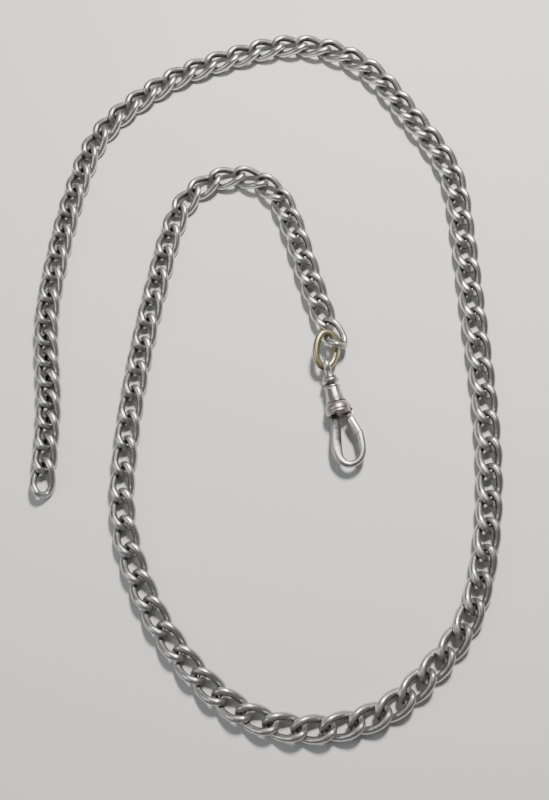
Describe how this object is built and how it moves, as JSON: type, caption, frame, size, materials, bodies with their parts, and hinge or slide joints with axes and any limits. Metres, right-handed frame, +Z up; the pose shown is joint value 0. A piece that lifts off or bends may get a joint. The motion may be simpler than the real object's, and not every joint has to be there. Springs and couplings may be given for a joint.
{
  "type": "watch chain with swivel clasp",
  "caption": "Curb-link watch chain laid in a loose coil, with a plain end link and, at the other end, a jump ring and a sprung swivel clasp.",
  "frame": {"origin": "middle of the laid-out chain's box, on the surface that it rests on", "axes": "+Z up from the surface, +Y along the coil's long way towards its far bend, +X across it"},
  "size_m": [0.1024, 0.164, 0.0056],
  "materials": {
    "chain_silver": "worn and tarnished silver plate",
    "ring_brass": "dulled brass",
    "eye_silver": "tarnished",
    "collar_silver": "worn bright",
    "barrel_silver": "finely scratched",
    "bead_silver": "tarnished",
    "flange_silver": "satin, brown tarnish",
    "hook_silver": "worn satin",
    "gate_silver": "worn satin",
    "pin_steel": "dark",
    "spring_steel": "dark"
  },
  "bodies": {
    "links_01_02": {"links_01_02": "chain_silver"},
    "links_03_04": {"links_03_04": "chain_silver"},
    "links_05_06": {"links_05_06": "chain_silver"},
    "links_07_08": {"links_07_08": "chain_silver"},
    "links_09_10": {"links_09_10": "chain_silver"},
    "links_11_12": {"links_11_12": "chain_silver"},
    "links_13_14": {"links_13_14": "chain_silver"},
    "links_15_16": {"links_15_16": "chain_silver"},
    "links_17_18": {"links_17_18": "chain_silver"},
    "links_19_20": {"links_19_20": "chain_silver"},
    "links_21_22": {"links_21_22": "chain_silver"},
    "links_23_24": {"links_23_24": "chain_silver"},
    "links_25_26": {"links_25_26": "chain_silver"},
    "links_27_28": {"links_27_28": "chain_silver"},
    "links_29_30": {"links_29_30": "chain_silver"},
    "links_31_32": {"links_31_32": "chain_silver"},
    "links_33_34": {"links_33_34": "chain_silver"},
    "links_35_36": {"links_35_36": "chain_silver"},
    "links_37_38": {"links_37_38": "chain_silver"},
    "links_39_40": {"links_39_40": "chain_silver"},
    "links_41_42": {"links_41_42": "chain_silver"},
    "links_43_44": {"links_43_44": "chain_silver"},
    "links_45_46": {"links_45_46": "chain_silver"},
    "links_47_48": {"links_47_48": "chain_silver"},
    "links_49_50": {"links_49_50": "chain_silver"},
    "links_51_52": {"links_51_52": "chain_silver"},
    "links_53_54": {"links_53_54": "chain_silver"},
    "links_55_56": {"links_55_56": "chain_silver"},
    "links_57_58": {"links_57_58": "chain_silver"},
    "links_59_60": {"links_59_60": "chain_silver"},
    "links_61_62": {"links_61_62": "chain_silver"},
    "links_63_64": {"links_63_64": "chain_silver"},
    "links_65_66": {"links_65_66": "chain_silver"},
    "links_67_68": {"links_67_68": "chain_silver"},
    "links_69_70": {"links_69_70": "chain_silver"},
    "links_71_72": {"links_71_72": "chain_silver"},
    "links_73_74": {"links_73_74": "chain_silver"},
    "links_75_76": {"links_75_76": "chain_silver"},
    "links_77_78": {"links_77_78": "chain_silver"},
    "links_79_80": {"links_79_80": "chain_silver"},
    "links_81_82": {"links_81_82": "chain_silver"},
    "links_83_84": {"links_83_84": "chain_silver"},
    "links_85_86": {"links_85_86": "chain_silver"},
    "links_87_88": {"links_87_88": "chain_silver"},
    "links_89_90": {"links_89_90": "chain_silver"},
    "links_91_92": {"links_91_92": "chain_silver"},
    "links_93_94": {"links_93_94": "chain_silver"},
    "link_95": {"link_95": "chain_silver"},
    "link_96": {"link_96": "chain_silver"},
    "jump_ring": {"jump_ring": "ring_brass"},
    "swivel_eye": {"swivel_eye": "eye_silver", "shank_collar": "collar_silver"},
    "barrel": {"barrel": "barrel_silver", "bead_ring": "bead_silver", "base_flange": "flange_silver", "hook": "hook_silver", "gate_pin": "pin_steel", "gate_spring": "spring_steel"},
    "gate": {"gate": "gate_silver"}
  },
  "joints": [
    {"name": "clasp_gate", "type": "hinge", "parent": "barrel", "child": "gate", "pos_m": [0.01961, -0.01466, 0.0028], "axis": [0, 0, -1], "range_deg": [0, 28], "stiffness_Nm_per_rad": 0.00004, "springref_deg": -17.19},
    {"name": "clasp_swivel", "type": "hinge", "parent": "swivel_eye", "child": "barrel", "pos_m": [0.01604, -0.00964, 0.0028], "axis": [0.225, -0.9744, 0], "continuous": true},
    {"name": "clasp_eye_lift", "type": "hinge", "parent": "jump_ring", "child": "swivel_eye", "pos_m": [0.01499, -0.00511, 0.0028], "axis": [-0.9744, -0.225, 0], "range_deg": [0, 75]},
    {"name": "clasp_ring_swing", "type": "hinge", "parent": "link_96", "child": "jump_ring", "pos_m": [0.0168, 0.0009, 0.0038], "axis": [0.0701, 0.3304, 0.9412], "range_deg": [-2, 6]},
    {"name": "link_95_96", "type": "hinge", "parent": "link_95", "child": "link_96", "pos_m": [0.0151, 0.00543, 0.00172], "axis": [0, 0, 1], "range_deg": [-6, 6]},
    {"name": "link_94_95", "type": "hinge", "parent": "links_93_94", "child": "link_95", "pos_m": [0.01337, 0.01081, 0.00172], "axis": [0, 0, 1], "range_deg": [-18, 18]},
    {"name": "link_92_93", "type": "hinge", "parent": "links_91_92", "child": "links_93_94", "pos_m": [0.01018, 0.02169, 0.00172], "axis": [0, 0, -1], "range_deg": [-18, 18]},
    {"name": "link_90_91", "type": "hinge", "parent": "links_89_90", "child": "links_91_92", "pos_m": [0.00686, 0.03259, 0.00172], "axis": [0, 0, -1], "range_deg": [-16, 16]},
    {"name": "link_88_89", "type": "hinge", "parent": "links_87_88", "child": "links_89_90", "pos_m": [0.00053, 0.04178, 0.00172], "axis": [0, 0, 1], "range_deg": [-4, 4]},
    {"name": "link_86_87", "type": "hinge", "parent": "links_85_86", "child": "links_87_88", "pos_m": [-0.0105, 0.04291, 0.00172], "axis": [0, 0, 1], "range_deg": [-6, 6]},
    {"name": "link_84_85", "type": "hinge", "parent": "links_83_84", "child": "links_85_86", "pos_m": [-0.01876, 0.03541, 0.00172], "axis": [0, 0, -1], "range_deg": [-10, 10]},
    {"name": "link_82_83", "type": "hinge", "parent": "links_81_82", "child": "links_83_84", "pos_m": [-0.02182, 0.02439, 0.00172], "axis": [0, 0, -1], "range_deg": [-18, 18]},
    {"name": "link_80_81", "type": "hinge", "parent": "links_79_80", "child": "links_81_82", "pos_m": [-0.02405, 0.01317, 0.00172], "axis": [0, 0, 1], "range_deg": [-18, 18]},
    {"name": "link_78_79", "type": "hinge", "parent": "links_77_78", "child": "links_79_80", "pos_m": [-0.02608, 0.00194, 0.00172], "axis": [0, 0, 1], "range_deg": [-18, 18]},
    {"name": "link_76_77", "type": "hinge", "parent": "links_75_76", "child": "links_77_78", "pos_m": [-0.02766, -0.00938, 0.00172], "axis": [0, 0, -1], "range_deg": [-18, 18]},
    {"name": "link_74_75", "type": "hinge", "parent": "links_73_74", "child": "links_75_76", "pos_m": [-0.02868, -0.02088, 0.00172], "axis": [0, 0, -1], "range_deg": [-18, 18]},
    {"name": "link_72_73", "type": "hinge", "parent": "links_71_72", "child": "links_73_74", "pos_m": [-0.02909, -0.03254, 0.00172], "axis": [0, 0, 1], "range_deg": [-13, 13]},
    {"name": "link_70_71", "type": "hinge", "parent": "links_69_70", "child": "links_71_72", "pos_m": [-0.02693, -0.04409, 0.00172], "axis": [0, 0, 1], "range_deg": [-13, 13]},
    {"name": "link_68_69", "type": "hinge", "parent": "links_67_68", "child": "links_69_70", "pos_m": [-0.02231, -0.05505, 0.00172], "axis": [0, 0, -1], "range_deg": [-13, 13]},
    {"name": "link_66_67", "type": "hinge", "parent": "links_65_66", "child": "links_67_68", "pos_m": [-0.01574, -0.06501, 0.00172], "axis": [0, 0, -1], "range_deg": [-12, 12]},
    {"name": "link_64_65", "type": "hinge", "parent": "links_63_64", "child": "links_65_66", "pos_m": [-0.00748, -0.07333, 0.00172], "axis": [0, 0, 1], "range_deg": [-11, 11]},
    {"name": "link_62_63", "type": "hinge", "parent": "links_61_62", "child": "links_63_64", "pos_m": [0.00275, -0.07851, 0.00172], "axis": [0, 0, 1], "range_deg": [-9, 9]},
    {"name": "link_60_61", "type": "hinge", "parent": "links_59_60", "child": "links_61_62", "pos_m": [0.014, -0.07928, 0.00172], "axis": [0, 0, -1], "range_deg": [-11, 11]},
    {"name": "link_58_59", "type": "hinge", "parent": "links_57_58", "child": "links_59_60", "pos_m": [0.02475, -0.07633, 0.00172], "axis": [0, 0, -1], "range_deg": [-8, 8]},
    {"name": "link_56_57", "type": "hinge", "parent": "links_55_56", "child": "links_57_58", "pos_m": [0.03347, -0.06943, 0.00172], "axis": [0, 0, 1], "range_deg": [-13, 13]},
    {"name": "link_54_55", "type": "hinge", "parent": "links_53_54", "child": "links_55_56", "pos_m": [0.04083, -0.0611, 0.00172], "axis": [0, 0, 1], "range_deg": [-11, 11]},
    {"name": "link_52_53", "type": "hinge", "parent": "links_51_52", "child": "links_53_54", "pos_m": [0.04517, -0.05092, 0.00172], "axis": [0, 0, -1], "range_deg": [-16, 16]},
    {"name": "link_50_51", "type": "hinge", "parent": "links_49_50", "child": "links_51_52", "pos_m": [0.04736, -0.03999, 0.00172], "axis": [0, 0, -1], "range_deg": [-18, 18]},
    {"name": "link_48_49", "type": "hinge", "parent": "links_47_48", "child": "links_49_50", "pos_m": [0.04844, -0.02866, 0.00172], "axis": [0, 0, 1], "range_deg": [-18, 18]},
    {"name": "link_46_47", "type": "hinge", "parent": "links_47_48", "child": "links_45_46", "pos_m": [0.04854, -0.01705, 0.00172], "axis": [0, 0, 1], "range_deg": [-18, 18]},
    {"name": "link_44_45", "type": "hinge", "parent": "links_45_46", "child": "links_43_44", "pos_m": [0.04812, -0.00521, 0.00172], "axis": [0, 0, -1], "range_deg": [-18, 18]},
    {"name": "link_42_43", "type": "hinge", "parent": "links_43_44", "child": "links_41_42", "pos_m": [0.04739, 0.00666, 0.00172], "axis": [0, 0, -1], "range_deg": [-18, 18]},
    {"name": "link_40_41", "type": "hinge", "parent": "links_41_42", "child": "links_39_40", "pos_m": [0.04681, 0.01852, 0.00172], "axis": [0, 0, 1], "range_deg": [-15, 15]},
    {"name": "link_38_39", "type": "hinge", "parent": "links_39_40", "child": "links_37_38", "pos_m": [0.04608, 0.03036, 0.00172], "axis": [0, 0, 1], "range_deg": [-11, 11]},
    {"name": "link_36_37", "type": "hinge", "parent": "links_37_38", "child": "links_35_36", "pos_m": [0.04452, 0.04207, 0.00172], "axis": [0, 0, -1], "range_deg": [-7, 7]},
    {"name": "link_34_35", "type": "hinge", "parent": "links_35_36", "child": "links_33_34", "pos_m": [0.03919, 0.0526, 0.00172], "axis": [0, 0, -1], "range_deg": [-8, 8]},
    {"name": "link_32_33", "type": "hinge", "parent": "links_33_34", "child": "links_31_32", "pos_m": [0.03294, 0.06263, 0.00172], "axis": [0, 0, 1], "range_deg": [-7, 7]},
    {"name": "link_30_31", "type": "hinge", "parent": "links_31_32", "child": "links_29_30", "pos_m": [0.02586, 0.07202, 0.00172], "axis": [0, 0, 1], "range_deg": [-6, 6]},
    {"name": "link_28_29", "type": "hinge", "parent": "links_29_30", "child": "links_27_28", "pos_m": [0.01588, 0.07808, 0.00172], "axis": [0, 0, -1], "range_deg": [-6, 6]},
    {"name": "link_26_27", "type": "hinge", "parent": "links_27_28", "child": "links_25_26", "pos_m": [0.00445, 0.07942, 0.00172], "axis": [0, 0, -1], "range_deg": [-6, 6]},
    {"name": "link_24_25", "type": "hinge", "parent": "links_25_26", "child": "links_23_24", "pos_m": [-0.00665, 0.07694, 0.00172], "axis": [0, 0, 1], "range_deg": [-6, 6]},
    {"name": "link_22_23", "type": "hinge", "parent": "links_23_24", "child": "links_21_22", "pos_m": [-0.01732, 0.0735, 0.00172], "axis": [0, 0, 1], "range_deg": [-6, 6]},
    {"name": "link_20_21", "type": "hinge", "parent": "links_21_22", "child": "links_19_20", "pos_m": [-0.02693, 0.06813, 0.00172], "axis": [0, 0, -1], "range_deg": [-6, 6]},
    {"name": "link_18_19", "type": "hinge", "parent": "links_19_20", "child": "links_17_18", "pos_m": [-0.03527, 0.06112, 0.00172], "axis": [0, 0, -1], "range_deg": [-7, 7]},
    {"name": "link_16_17", "type": "hinge", "parent": "links_17_18", "child": "links_15_16", "pos_m": [-0.04119, 0.05204, 0.00172], "axis": [0, 0, 1], "range_deg": [-8, 8]},
    {"name": "link_14_15", "type": "hinge", "parent": "links_15_16", "child": "links_13_14", "pos_m": [-0.0441, 0.0415, 0.00172], "axis": [0, 0, 1], "range_deg": [-9, 9]},
    {"name": "link_12_13", "type": "hinge", "parent": "links_13_14", "child": "links_11_12", "pos_m": [-0.04626, 0.03075, 0.00172], "axis": [0, 0, -1], "range_deg": [-11, 11]},
    {"name": "link_10_11", "type": "hinge", "parent": "links_11_12", "child": "links_09_10", "pos_m": [-0.04779, 0.01987, 0.00172], "axis": [0, 0, -1], "range_deg": [-14, 14]},
    {"name": "link_08_09", "type": "hinge", "parent": "links_09_10", "child": "links_07_08", "pos_m": [-0.04859, 0.00907, 0.00172], "axis": [0, 0, 1], "range_deg": [-14, 14]},
    {"name": "link_06_07", "type": "hinge", "parent": "links_07_08", "child": "links_05_06", "pos_m": [-0.04778, -0.00109, 0.00172], "axis": [0, 0, 1], "range_deg": [-14, 14]},
    {"name": "link_04_05", "type": "hinge", "parent": "links_05_06", "child": "links_03_04", "pos_m": [-0.04666, -0.01058, 0.00172], "axis": [0, 0, -1], "range_deg": [-10, 10]},
    {"name": "link_02_03", "type": "hinge", "parent": "links_03_04", "child": "links_01_02", "pos_m": [-0.04646, -0.02046, 0.00172], "axis": [0, 0, -1], "range_deg": [-16, 16]}
  ]
}
